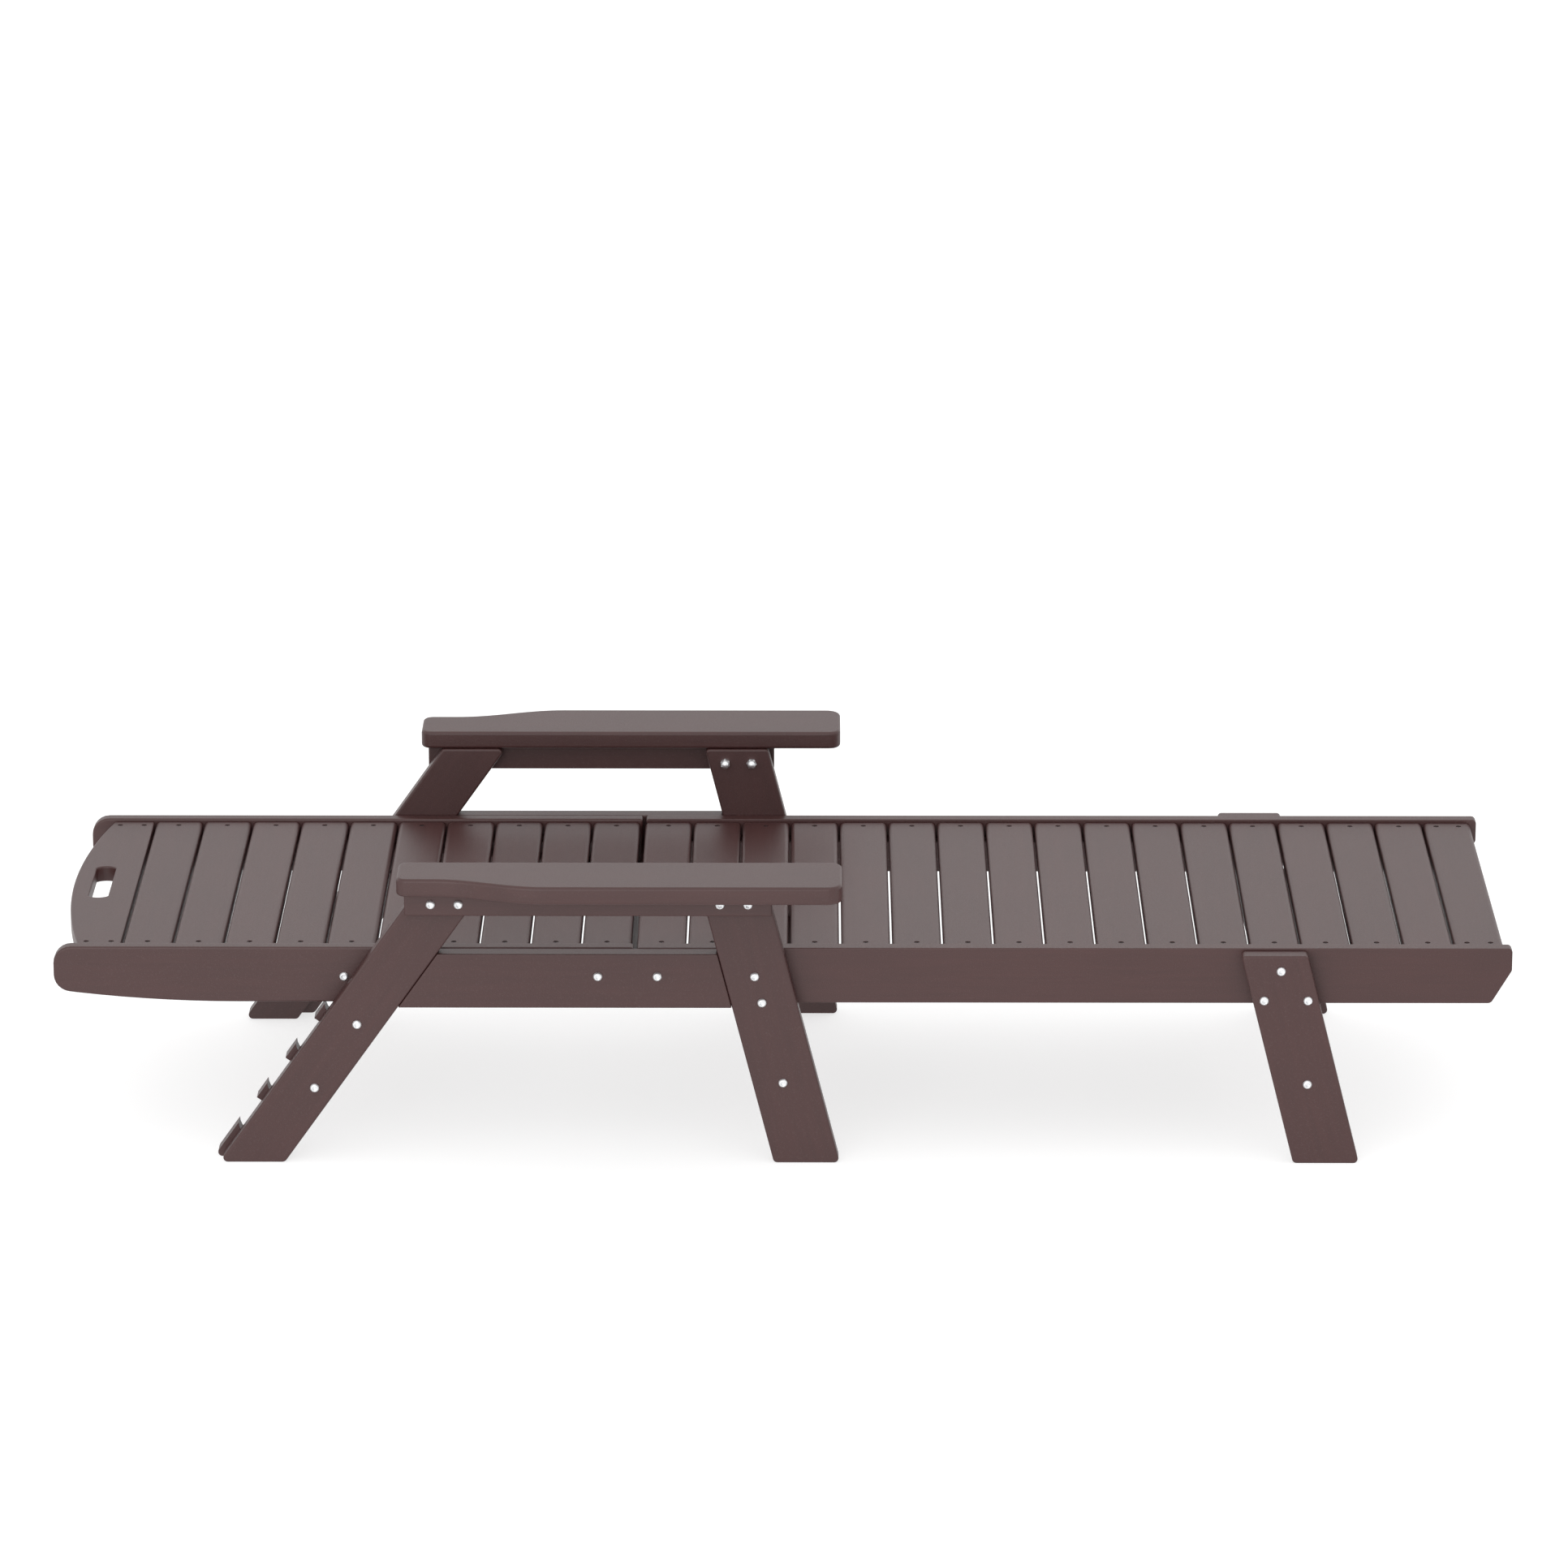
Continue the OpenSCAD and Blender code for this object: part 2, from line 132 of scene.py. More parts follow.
# studio: the lamps are name, place, edge length and power; the camera looks from the right side
WORLD_LIGHT = 1.2
FLOOR_HALF = 30
FLOOR_GLOW = 0.7
LAMPS = (("overhead", (0.4, -0.6, 4.5), 5, 12),
         ("front_fill", (-2.0, -6.5, 1.8), 4, 130))
LAMP_AIM = (0, 0, 0.25)
CAMERA_PLACE = (0.03649, -9.8364, 3.4921)
CAMERA_TURN = (math.pi / 2 - 0.3008, 0, 0.0036)
CAMERA_LENS = 170.25


# Settings -------------------------------------------------------------------

class LoungeSizes(bpy.types.PropertyGroup):
    """Sizes that can be changed without moving a joint."""
    board_edge: FloatProperty(
        name="Board Edge", description="Radius of the rounded edges of rails and legs",
        default=0.003, min=0.0005, max=0.004, unit="LENGTH")
    armrest_edge: FloatProperty(
        name="Armrest Edge", description="Radius of the rounded edges of the armrests",
        default=0.0045, min=0.001, max=0.008, unit="LENGTH")
    slat_edge: FloatProperty(
        name="Slat Edge", description="Radius of the slats' rounded long edges",
        default=0.0065, min=0.001, max=0.009, unit="LENGTH")
    slat_end_edge: FloatProperty(
        name="Slat End Edge", description="Radius of the rounded edges at the slats' ends",
        default=0.0025, min=0.0005, max=0.005, unit="LENGTH")
    edge_steps: IntProperty(
        name="Edge Steps", description="Number of faces across each rounded edge",
        default=4, min=2, max=8)
    bolt_head: FloatProperty(
        name="Bolt Head", description="Diameter of the domed bolt heads",
        default=0.0126, min=0.010, max=0.016, unit="LENGTH")
    screw_head: FloatProperty(
        name="Screw Head", description="Diameter of the slat screws' heads",
        default=0.0074, min=0.005, max=0.0075, unit="LENGTH")


class LoungeFinish(bpy.types.PropertyGroup):
    """Colours and surface finish."""
    lumber_colour: FloatVectorProperty(
        name="Lumber", description="Main colour of the plastic lumber",
        default=(0.044, 0.0143, 0.0133), min=0, max=1, subtype="COLOR")
    fleck_colour: FloatVectorProperty(
        name="Fleck", description="Colour of the fine pale flecks in the lumber",
        default=(0.20, 0.165, 0.16), min=0, max=1, subtype="COLOR")
    tint_spread: FloatProperty(
        name="Board Variation", description="How much the boards differ in brightness",
        default=0.05, min=0, max=0.3, subtype="FACTOR")
    grain_depth: FloatProperty(
        name="Grain Depth", description="Height of the grain in the lumber's surface",
        default=0.00025, min=0, max=0.001, unit="LENGTH")
    steel_colour: FloatVectorProperty(
        name="Stainless Steel", description="Colour of the bolts and cap nuts",
        default=(0.82, 0.82, 0.81), min=0, max=1, subtype="COLOR")
    # the slat screw heads are set near black, a little brown; nothing here says why they look
    # dark
    screw_colour: FloatVectorProperty(
        name="Dark Screws", description="Colour of the dark slat screw heads",
        default=(0.018, 0.012, 0.012), min=0, max=1, subtype="COLOR")
    bar_colour: FloatVectorProperty(
        name="Bar", description="Colour of the aluminium prop bar",
        default=(0.60, 0.61, 0.62), min=0, max=1, subtype="COLOR")
    floor_colour: FloatVectorProperty(
        name="Floor", description="Colour of the studio floor",
        default=(0.42, 0.42, 0.42), min=0, max=1, subtype="COLOR")


# Materials ------------------------------------------------------------------

def empty_material(name):
    material = bpy.data.materials.get(name)
    if material:
        return material, None
    material = bpy.data.materials.new(name)
    material.use_nodes = True
    tree = material.node_tree
    tree.nodes.clear()
    output = tree.nodes.new("ShaderNodeOutputMaterial")
    shader = tree.nodes.new("ShaderNodeBsdfPrincipled")
    tree.links.new(shader.outputs["BSDF"], output.inputs["Surface"])
    return material, shader


def node(tree, kind, values=(), **options):
    made = tree.nodes.new(kind)
    for key, value in options.items():
        setattr(made, key, value)
    for key, value in dict(values).items():
        made.inputs[key].default_value = value
    return made


def noise(tree, coords, scale, detail=3.0, roughness=0.55):
    made = node(tree, "ShaderNodeTexNoise",
                {"Scale": scale, "Detail": detail, "Roughness": roughness})
    tree.links.new(coords, made.inputs["Vector"])
    return made.outputs["Fac"]


def levels(tree, value, low, high, to_low, to_high):
    made = node(tree, "ShaderNodeMapRange", {
        "From Min": low, "From Max": high, "To Min": to_low, "To Max": to_high})
    tree.links.new(value, made.inputs["Value"])
    return made.outputs["Result"]


def lumber(name, turn):
    """Through-coloured plastic lumber; turn is the direction of the grain."""
    finish = bpy.context.scene.lounge_finish
    material, shader = empty_material(name)
    if shader is None:
        return material
    tree = material.node_tree
    link = tree.links.new
    base = tuple(finish.lumber_colour)
    coords = node(tree, "ShaderNodeTexCoord").outputs["Object"]
    grain = node(tree, "ShaderNodeMapping",
                 {"Rotation": turn, "Scale": (18, 1, 1)}, vector_type="TEXTURE")
    link(coords, grain.inputs["Vector"])
    along = grain.outputs["Vector"]

    cloud = noise(tree, coords, 9, 4)
    streaks = noise(tree, along, 140, 5, 0.6)
    fibres = noise(tree, along, 620, 3)
    flecks = noise(tree, coords, 620, 3, 0.65)

    # cloudy darker and lighter areas, then the streaks of the extrusion
    shades = node(tree, "ShaderNodeMix", data_type="RGBA")
    shades.inputs["A"].default_value = (*[c * 0.88 for c in base], 1)
    shades.inputs["B"].default_value = (*[c * 1.12 for c in base], 1)
    mixed = node(tree, "ShaderNodeMath", operation="ADD")
    link(levels(tree, cloud, 0.3, 0.7, 0.0, 0.4), mixed.inputs[0])
    link(levels(tree, streaks, 0.3, 0.7, 0.0, 0.6), mixed.inputs[1])
    link(mixed.outputs[0], shades.inputs["Factor"])
    speckled = node(tree, "ShaderNodeMix", data_type="RGBA")
    speckled.inputs["B"].default_value = (*finish.fleck_colour, 1)
    link(levels(tree, flecks, 0.56, 0.78, 0.0, 0.16), speckled.inputs["Factor"])
    link(shades.outputs["Result"], speckled.inputs["A"])

    # every board is a little lighter or darker than the next
    tint = node(tree, "ShaderNodeAttribute", attribute_name=TINT)
    brightness = levels(tree, tint.outputs["Fac"], -1, 1,
                        1 - finish.tint_spread, 1 + finish.tint_spread)
    tinted = node(tree, "ShaderNodeHueSaturation")
    link(speckled.outputs["Result"], tinted.inputs["Color"])
    link(brightness, tinted.inputs["Value"])
    link(tinted.outputs["Color"], shader.inputs["Base Color"])

    # satin: the flecks and fibres break up the gloss
    link(levels(tree, flecks, 0.3, 0.7, 0.38, 0.52), shader.inputs["Roughness"])
    height = node(tree, "ShaderNodeMath", operation="MULTIPLY_ADD")
    link(fibres, height.inputs[0])
    height.inputs[1].default_value = 0.2
    link(flecks, height.inputs[2])
    bump = node(tree, "ShaderNodeBump", {"Strength": 0.7, "Distance": finish.grain_depth})
    link(height.outputs[0], bump.inputs["Height"])
    link(bump.outputs["Normal"], shader.inputs["Normal"])
    shader.inputs["IOR"].default_value = 1.5
    return material


def lumber_along():
    return lumber("lumber_along", (0, 0, 0))


def lumber_across():
    return lumber("lumber_across", (0, 0, math.radians(90)))


def lumber_leaning(name, angle):
    return lumber(name, (0, angle, 0))


def metal(name, colour, roughness, scale, metallic=1.0):
    """Metal with fine uneven polish and light scratches."""
    material, shader = empty_material(name)
    if shader is None:
        return material
    tree = material.node_tree
    link = tree.links.new
    coords = node(tree, "ShaderNodeTexCoord").outputs["Object"]
    polish = noise(tree, coords, scale, 4)
    stain = noise(tree, coords, scale * 0.25, 2)
    shades = node(tree, "ShaderNodeMix", data_type="RGBA")
    shades.inputs["A"].default_value = (*[c * 0.86 for c in colour], 1)
    shades.inputs["B"].default_value = (*[min(1, c * 1.08) for c in colour], 1)
    link(levels(tree, stain, 0.3, 0.7, 0, 1), shades.inputs["Factor"])
    link(shades.outputs["Result"], shader.inputs["Base Color"])
    link(levels(tree, polish, 0.3, 0.7, roughness * 0.8, roughness * 1.3),
         shader.inputs["Roughness"])
    bump = node(tree, "ShaderNodeBump", {"Strength": 0.2, "Distance": 0.00005})
    link(polish, bump.inputs["Height"])
    link(bump.outputs["Normal"], shader.inputs["Normal"])
    shader.inputs["Metallic"].default_value = metallic
    return material


def stainless():
    return metal("stainless_steel", tuple(bpy.context.scene.lounge_finish.steel_colour),
                 0.24, 900)


# near-black, non-metallic slat screw heads
def screw_coating():
    return metal("screw_coating", tuple(bpy.context.scene.lounge_finish.screw_colour),
                 0.45, 1500, 0.0)


def bar_aluminium():
    return metal("bar_aluminium", tuple(bpy.context.scene.lounge_finish.bar_colour),
                 0.36, 300)


# Outlines -------------------------------------------------------------------

def rounded(points, radii, steps=6):
    """Outline in metres from corners in millimetres, each turned with its own radius."""
    corners = [Vector(p) * MM for p in points]
    outline = []
    for i, corner in enumerate(corners):
        radius = radii[i] * MM
        if not radius:
            outline.append(corner)
            continue
        to_last = (corners[i - 1] - corner).normalized()
        to_next = (corners[(i + 1) % len(corners)] - corner).normalized()
        half = to_last.angle(to_next) / 2
        middle = corner + (to_last + to_next).normalized() * radius / math.sin(half)
        first = corner + to_last * radius / math.tan(half) - middle
        last = corner + to_next * radius / math.tan(half) - middle
        start = math.atan2(first.y, first.x)
        turn = (math.atan2(last.y, last.x) - start + math.pi) % math.tau - math.pi
        outline += [middle + radius * Vector((math.cos(start + turn * k / steps),
                                              math.sin(start + turn * k / steps)))
                    for k in range(steps + 1)]
    return outline


def arc(centre, radius, start, end, steps):
    """Points in millimetres along a round, from one angle in degrees to another."""
    angles = [math.radians(start + (end - start) * k / steps) for k in range(steps + 1)]
    return [(centre[0] + radius * math.cos(a), centre[1] + radius * math.sin(a))
            for a in angles]


def clipped(points, level, keep_above):
    """Cuts an outline off along a level line."""
    sign = 1 if keep_above else -1
    kept = []
    for i, here in enumerate(points):
        last = points[i - 1]
        inside, was_inside = sign * (here[1] - level) >= 0, sign * (last[1] - level) >= 0
        if inside != was_inside:
            share = (level - last[1]) / (here[1] - last[1])
            kept.append((last[0] + share * (here[0] - last[0]), level))
        if inside:
            kept.append(here)
    return kept


def seat_rail_outline():
    reach = 1000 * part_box("seat_rail_right")[1].x
    end = 1000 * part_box("seat_rail_right")[0].x
    rise = math.degrees(math.acos((end - HINGE[0]) / HINGE_SCOOP))
    points = [(end, RAIL_LOW), (reach - 27.5, RAIL_LOW), (reach, 269.25),
              (reach, RAIL_TOP), (end, RAIL_TOP)]
    scoop = arc(HINGE, HINGE_SCOOP, rise, -rise, 8)
    return rounded(points + scoop, [4, 8, 8, 6, 4] + [0] * len(scoop))


def back_rail_outline():
    head = 1000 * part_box("back_rail_right")[0].x
    end = 1000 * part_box("back_rail_right")[1].x
    rise_start, rise_r, steps = -742, 1850, 8
    under = []
    for i in range(steps + 1):
        x = head + (rise_start - head) * i / steps
        under.append((x, RAIL_LOW + rise_r - math.sqrt(rise_r ** 2 - (x - rise_start) ** 2)))
    pocket = arc((BAR_X, BAR_Z), 12, 180, 0, 10)
    pocket = [(BAR_X - 12, RAIL_LOW)] + pocket + [(BAR_X + 12, RAIL_LOW)]
    points = under + pocket + [(end, RAIL_LOW), (end, RAIL_TOP), (head, RAIL_TOP)]
    return rounded(points, [24] + [0] * (steps + len(pocket)) + [4, 4, 24])


def leaning_leg_outline(foot, top):
    shift = top * LEG_LEAN
    return rounded([(foot, 0), (foot + LEG_WIDTH, 0), (foot + LEG_WIDTH - shift, top),
                    (foot - shift, top)], [6, 6, 5, 5])


def back_leg_outline():
    shift = ARMREST_LOW * BACK_LEG_LEAN
    foot = BACK_LEG_X
    return rounded([(foot, 0), (foot + LEG_WIDTH, 0), (foot + LEG_WIDTH + shift, ARMREST_LOW),
                    (foot + shift, ARMREST_LOW)], [6, 8, 6, 4])


def side_board_outline():
    low, top, joint = RAIL_LOW + 0.5, RAIL_TOP - 1, 0.4
    rear = BACK_LEG_X + LEG_WIDTH + joint
    front = MIDDLE_LEG_X - joint
    return rounded([(rear + low * BACK_LEG_LEAN, low), (front - low * LEG_LEAN, low),
                    (front - top * LEG_LEAN, top), (rear + top * BACK_LEG_LEAN, top)],
                   [0, 0, 0, 0])


def notch_board_outline():
    """Four rounded notches, laid out up the rear edge of the back leg."""
    pitch, tooth, edge, shelf, pocket_r = 69.9, 25.5, 7, -20, 22
    points = [(-60, edge)]
    for i in range(4):
        tip = 55 + pitch * i
        centre = (tip + 12.7, -11)
        points += arc(centre, pocket_r, 125.1, 335.85, 14)
        points += [(tip + pitch - tooth, shelf), (tip + pitch - tooth, edge)]
    points += [(420, edge), (420, -55), (-60, -55)]
    up = (math.sin(BACK_LEG_ANGLE), math.cos(BACK_LEG_ANGLE))
    placed = [(BACK_LEG_X + up[0] * s - up[1] * t, up[1] * s + up[0] * t) for s, t in points]
    cut = clipped(clipped(placed, 0, True), RAIL_LOW - 1.5, False)
    return rounded(cut, [6 if p[1] == 0 else 0 for p in cut])


def armrest_outline(side):
    """Plan of an armrest: the outer edge swells in an S from narrow to broad."""
    back, front, inner, narrow, broad = -518.5, 80.5, 302, 382, 416
    swell_start, swell_end, steps = -470, -318, 14
    swell = []
    for i in range(steps + 1):
        t = i / steps
        y = narrow + (broad - narrow) * (1 - math.cos(math.pi * t)) / 2
        swell.append((swell_start + (swell_end - swell_start) * t, side * y))
    points = [(front, side * inner), (back, side * inner), (back, side * narrow)]
    points += swell + [(front, side * broad)]
    return rounded(points, [16, 14, 14] + [0] * len(swell) + [20])


def prop_arm_outline():
    half = 15
    along = (Vector((BAR_X, BAR_Z)) - Vector(PROP_PIVOT)).normalized()
    over = Vector((-along.y, along.x))
    ends = [(-half, -half), (PROP_REACH + half, -half), (PROP_REACH + half, half), (-half, half)]
    return rounded([Vector(PROP_PIVOT) + s * along + t * over for s, t in ends],
                   [half - 0.5] * 4, 8)


# Building -------------------------------------------------------------------

def slab(name, points, push, loops=None):
    """Closed board from flat outline points, pushed along a vector."""
    loops = [list(loop) for loop in loops or [range(len(points))]]
    build = bmesh.new()
    low = [build.verts.new(p) for p in points]
    high = [build.verts.new(Vector(p) + push) for p in points]
    pairs = {(loop[i - 1], loop[i]) for loop in loops for i in range(len(loop))}
    for loop in loops:
        build.faces.new([low[i] for i in loop])
        build.faces.new([high[i] for i in reversed(loop)])
    for a, b in sorted(pairs):
        if (b, a) not in pairs:
            build.faces.new([low[b], low[a], high[a], high[b]])
    bmesh.ops.recalc_face_normals(build, faces=build.faces[:])
    mesh = bpy.data.meshes.new(name)
    build.to_mesh(mesh)
    build.free()
    return mesh


def put_in_scene(name, mesh):
    piece = bpy.data.objects.new(name, mesh)
    bpy.context.scene.collection.objects.link(piece)
    return piece


def round_edges(piece, radius):
    """Rounds every edge that turns sharply."""
    bevel = piece.modifiers.new("rounded_edges", "BEVEL")
    bevel.width = radius
    bevel.segments = bpy.context.scene.lounge_sizes.edge_steps
    bevel.limit_method = "ANGLE"
    bevel.angle_limit = math.radians(40)
    bevel.use_clamp_overlap = True


def even_shading(piece):
    weighted = piece.modifiers.new("even_shading", "WEIGHTED_NORMAL")
    weighted.keep_sharp = True
    weighted.weight = 90


def hand_over(piece, nodes, tint=None):
    """Puts the finished piece on the body of the CAD nodes that it stands for."""
    for polygon in piece.data.polygons:
        polygon.use_smooth = True
    if tint is not None:
        spread = piece.data.attributes.new(TINT, "FLOAT", "POINT")
        spread.data.foreach_set("value", [tint] * len(piece.data.vertices))
    bodies = {frame["nodes"][n]["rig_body"] for n in nodes}
    if len(bodies) != 1:
        raise RuntimeError(f"{piece.name} stands for nodes on several bodies: {sorted(bodies)}")
    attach(piece, bodies.pop())
    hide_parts(*nodes)
    return piece


def add_board(name, node_name, mesh, material, edge):
    piece = put_in_scene(name, mesh)
    mesh.materials.append(material)
    round_edges(piece, edge)
    even_shading(piece)
    draw = random.Random(node_name)
    return hand_over(piece, [node_name], draw.uniform(-1, 1))


def side_pair(base, outline, material, edge):
    """The right and left boards of one pattern, stood on edge."""
    for side, sign in (("right", -1), ("left", 1)):
        node_name = f"{base}_{side}"
        low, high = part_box(node_name)
        points = [(p.x, low.y, p.y) for p in outline]
        mesh = slab(f"{side}_{base}", points, Vector((0, high.y - low.y, 0)))
        add_board(f"{side}_{base}", node_name, mesh, material, edge)


def box_outline(node_name):
    """The four corners of a CAD node's box, seen from the side."""
    low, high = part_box(node_name)
    return [Vector((low.x, low.z)), Vector((high.x, low.z)),
            Vector((high.x, high.z)), Vector((low.x, high.z))]


def seat_end_outline():
    """The board that closes the seat's rear end, hollowed where the back turns past it."""
    low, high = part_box("seat_end_stretcher")
    clear = 52
    bottom, top = low.z / MM, high.z / MM
    first = math.degrees(math.asin((bottom - HINGE[1]) / clear))
    last = math.degrees(math.asin((top - HINGE[1]) / clear))
    points = [(high.x / MM, top)] + arc(HINGE, clear, last, first, 6) + [(high.x / MM, bottom)]
    return [Vector(p) * MM for p in points]


def finished_mesh(piece):
    """The mesh with its modifiers applied, as plain faces."""
    bpy.context.view_layer.update()
    depsgraph = bpy.context.evaluated_depsgraph_get()
    mesh = bpy.data.meshes.new_from_object(piece.evaluated_get(depsgraph))
    mesh.name = piece.name
    return mesh


def with_pockets(name, mesh, centres):
    """Rounds a slat's ends and sinks a pocket for each screw head. Centres in millimetres."""
    slat = put_in_scene(name, mesh)
    round_edges(slat, bpy.context.scene.lounge_sizes.slat_end_edge)
    build = bmesh.new()
    for x, y in centres:
        made = bmesh.ops.create_cone(build, cap_ends=True, segments=16, radius1=POCKET_R * MM,
                                     radius2=POCKET_R * MM, depth=2 * POCKET_DEPTH * MM)
        bmesh.ops.translate(build, verts=made["verts"], vec=(x * MM, y * MM, SLAT_TOP * MM))
    cutter_mesh = bpy.data.meshes.new("pocket_cutter")
    build.to_mesh(cutter_mesh)
    build.free()
    cutter = put_in_scene("pocket_cutter", cutter_mesh)
    cut = slat.modifiers.new("screw_pockets", "BOOLEAN")
    cut.operation = "DIFFERENCE"
    cut.solver = "EXACT"
    cut.object = cutter
    result = finished_mesh(slat)
    for spent in (slat, cutter):
        old = spent.data
        bpy.data.objects.remove(spent)
        bpy.data.meshes.remove(old)
    result.name = name
    result.materials.clear()
    for polygon in result.polygons:
        polygon.use_smooth = True
    result.set_sharp_from_angle(angle=math.radians(45))
    return result


def plain_slat(name, screw_offsets):
    """One slat across the bed, its middle at X = 0."""
    low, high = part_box("seat_slat_01")
    half = (high.x - low.x) / 2 / MM
    edge = bpy.context.scene.lounge_sizes.slat_edge / MM
    end = rounded([(-half, SLAT_LOW), (half, SLAT_LOW), (half, SLAT_TOP), (-half, SLAT_TOP)],
                  [edge] * 4)
    mesh = slab(name, [(p.x, low.y, p.y) for p in end], Vector((0, high.y - low.y, 0)))
    return with_pockets(name, mesh, [(x, s * SCREW_Y) for x in screw_offsets for s in (1, -1)])


def head_slat_mesh():
    """Wide end slat with a bowed edge and a hand-hole, made of two halves that share a line."""
    low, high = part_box("head_slat")
    bow_r, hole_x, hole_half, straight, cap_r, bulge = 1250, -950, 13.5, 59, 16.25, 10
    bow_x = low.x / MM + bow_r
    inner, end = high.x / MM, high.y / MM
    cap_angle = math.degrees(math.asin(hole_half / cap_r))
    cap_y = straight + bulge - cap_r
    half_hole = [(hole_x - hole_half, 0), (hole_x - hole_half, straight / 2)]
    half_hole += arc((hole_x, cap_y), cap_r, 90 + cap_angle, 90 - cap_angle, 10)
    half_hole += [(hole_x + hole_half, straight / 2), (hole_x + hole_half, 0)]
    steps = 16
    bow = []
    for i in range(steps + 1):
        y = end * (1 - i / steps)
        bow.append((bow_x - math.sqrt(bow_r ** 2 - y ** 2), y))
    half = [(inner, 0), (inner, end)] + bow + half_hole
    on_line = [i for i, p in enumerate(half) if p[1] == 0]
    points, other = list(half), []
    for i, p in enumerate(half):
        if i in on_line:
            other.append(i)
        else:
            other.append(len(points))
            points.append((p[0], -p[1]))
    mesh = slab("head_slat_board", [(p[0] * MM, p[1] * MM, low.z) for p in points],
                Vector((0, 0, high.z - low.z)), [range(len(half)), reversed(other)])
    return with_pockets("head_slat_board", mesh,
                        [(x, s * SCREW_Y) for x in HEAD_SCREWS for s in (1, -1)])


# Node trees for what repeats ------------------------------------------------

def new_tree(name, inputs):
    """An empty geometry tree with named inputs, and the identifier of each input."""
    tree = bpy.data.node_groups.new(name, "GeometryNodeTree")
    tree.interface.new_socket("Geometry", in_out="OUTPUT", socket_type="NodeSocketGeometry")
    tree.interface.new_socket("Geometry", in_out="INPUT", socket_type="NodeSocketGeometry")
    keys = {}
    for label, kind, default in inputs:
        socket = tree.interface.new_socket(label, in_out="INPUT", socket_type=kind)
        if default is not None:
            socket.default_value = default
        keys[label] = socket.identifier
    return tree, keys


def slat_row_tree():
    """A row of slats at even pitch, each with its own tint."""
    tree, keys = new_tree("slat_row", [
        ("Slat", "NodeSocketObject", None), ("Count", "NodeSocketInt", 10),
        ("Pitch", "NodeSocketFloat", SLAT_PITCH * MM), ("First Slat", "NodeSocketVector", None),
        ("Tint Seed", "NodeSocketInt", 1), ("Finish", "NodeSocketMaterial", None)])
    link = tree.links.new
    given = tree.nodes.new("NodeGroupInput").outputs
    line = node(tree, "GeometryNodeMeshLine", mode="OFFSET", count_mode="TOTAL")
    link(given["Count"], line.inputs["Count"])
    link(given["First Slat"], line.inputs["Start Location"])
    step = node(tree, "ShaderNodeCombineXYZ")
    link(given["Pitch"], step.inputs["X"])
    link(step.outputs["Vector"], line.inputs["Offset"])
    slat = node(tree, "GeometryNodeObjectInfo", transform_space="ORIGINAL")
    link(given["Slat"], slat.inputs["Object"])
    spread = node(tree, "GeometryNodeInstanceOnPoints")
    link(line.outputs["Mesh"], spread.inputs["Points"])
    link(slat.outputs["Geometry"], spread.inputs["Instance"])
    draw = node(tree, "FunctionNodeRandomValue", data_type="FLOAT")
    draw.inputs[2].default_value = -1
    draw.inputs[3].default_value = 1
    link(given["Tint Seed"], draw.inputs["Seed"])
    tint = node(tree, "GeometryNodeStoreNamedAttribute", data_type="FLOAT", domain="INSTANCE")
    tint.inputs["Name"].default_value = TINT
    link(spread.outputs["Instances"], tint.inputs["Geometry"])
    link(draw.outputs[1], tint.inputs["Value"])
    finish_tree(tree, tint.outputs["Geometry"], given["Finish"])
    return tree, keys


def fastener_tree():
    """Fasteners on given points, turned and scaled by the points' own values."""
    tree, keys = new_tree("fasteners", [
        ("Head", "NodeSocketObject", None), ("Nut", "NodeSocketObject", None),
        ("Finish", "NodeSocketMaterial", None)])
    link = tree.links.new
    given = tree.nodes.new("NodeGroupInput").outputs
    turn = node(tree, "GeometryNodeInputNamedAttribute", data_type="FLOAT_VECTOR")
    turn.inputs["Name"].default_value = "turn"
    to_turn = node(tree, "FunctionNodeEulerToRotation")
    link(turn.outputs["Attribute"], to_turn.inputs["Euler"])
    size = node(tree, "GeometryNodeInputNamedAttribute", data_type="FLOAT")
    size.inputs["Name"].default_value = "size"
    is_nut = node(tree, "GeometryNodeInputNamedAttribute", data_type="BOOLEAN")
    is_nut.inputs["Name"].default_value = "is_nut"
    is_head = node(tree, "FunctionNodeBooleanMath", operation="NOT")
    link(is_nut.outputs["Attribute"], is_head.inputs[0])
    joined = node(tree, "GeometryNodeJoinGeometry")
    for label, chosen in (("Head", is_head.outputs[0]), ("Nut", is_nut.outputs["Attribute"])):
        shape = node(tree, "GeometryNodeObjectInfo", transform_space="ORIGINAL")
        link(given[label], shape.inputs["Object"])
        spread = node(tree, "GeometryNodeInstanceOnPoints")
        link(given["Geometry"], spread.inputs["Points"])
        link(chosen, spread.inputs["Selection"])
        link(shape.outputs["Geometry"], spread.inputs["Instance"])
        link(to_turn.outputs["Rotation"], spread.inputs["Rotation"])
        link(size.outputs["Attribute"], spread.inputs["Scale"])
        link(spread.outputs["Instances"], joined.inputs["Geometry"])
    finish_tree(tree, joined.outputs["Geometry"], given["Finish"])
    return tree, keys


def finish_tree(tree, geometry, material):
    real = node(tree, "GeometryNodeRealizeInstances")
    paint = node(tree, "GeometryNodeSetMaterial")
    end = tree.nodes.new("NodeGroupOutput")
    tree.links.new(geometry, real.inputs["Geometry"])
    tree.links.new(real.outputs["Geometry"], paint.inputs["Geometry"])
    tree.links.new(material, paint.inputs["Material"])
    tree.links.new(paint.outputs["Geometry"], end.inputs["Geometry"])


